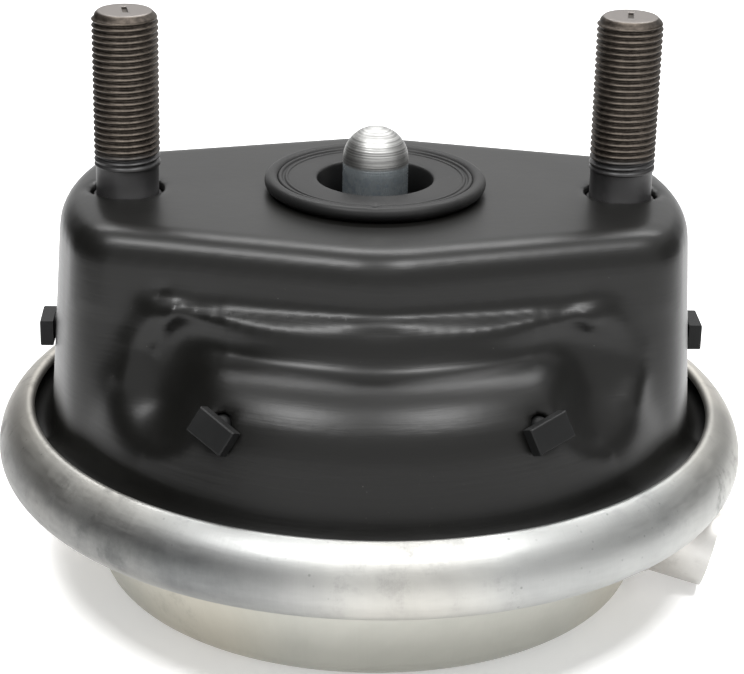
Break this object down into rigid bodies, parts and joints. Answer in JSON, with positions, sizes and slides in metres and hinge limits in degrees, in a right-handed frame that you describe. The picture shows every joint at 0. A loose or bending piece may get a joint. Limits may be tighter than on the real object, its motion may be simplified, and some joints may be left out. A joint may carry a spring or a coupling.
{
  "type": "air brake chamber",
  "caption": "Type 24 air brake chamber for a disc brake: pressed black housing, two M16 studs, domed push rod, plated clamp ring and cup.",
  "frame": {"origin": "centre of the mounting face, on the push rod's axis, midway between the two studs", "axes": "+Z along the push rod, out of the mounting face towards the caliper; +X along the row of studs towards the air port; +Y away from the viewer of the front side"},
  "size_m": [0.1866, 0.1866, 0.1427],
  "materials": {
    "black_paint": "semi-gloss black paint on pressed steel",
    "plated_steel": "bright zinc plate",
    "cup_zinc": "satin zinc plate",
    "stud_steel": "dark phosphate",
    "spring_steel": "oiled spring wire",
    "rubber": "matte black rubber",
    "plastic": "matte black plastic"
  },
  "bodies": {
    "chamber": {"mounting_housing": "black_paint", "stud_plate": "plated_steel", "left_stud": "stud_steel", "right_stud": "stud_steel", "face_seal": "rubber", "spring_seat": "plated_steel", "return_spring": "spring_steel", "rod_bellows": "rubber", "diaphragm": "rubber", "pressure_cup": "cup_zinc", "port_boss": "cup_zinc", "clamp_ring": "plated_steel", "drain_cap_right": "plastic", "drain_cap_back_right": "plastic", "drain_cap_back_left": "plastic", "drain_cap_left": "plastic", "drain_cap_front_left": "plastic", "drain_cap_front_right": "plastic"},
    "push_plate": {"pressure_plate": "plated_steel", "rod_socket": "plated_steel", "rod_retainer": "spring_steel", "bellows_clip": "plated_steel"},
    "rod": {"push_rod": "plated_steel"}
  },
  "joints": [
    {"name": "stroke", "type": "slide", "parent": "chamber", "child": "push_plate", "axis": [0, 0, 1], "range_m": [0, 0.057], "stiffness_N_per_m": 3000, "springref_m": -0.03, "deforming": ["return_spring", "rod_bellows", "diaphragm"]},
    {"name": "rod_swing", "type": "hinge", "parent": "push_plate", "child": "rod", "pos_m": [0, 0, -0.078], "axis": [0, 1, 0], "range_deg": [-3.5, 3.5]}
  ]
}
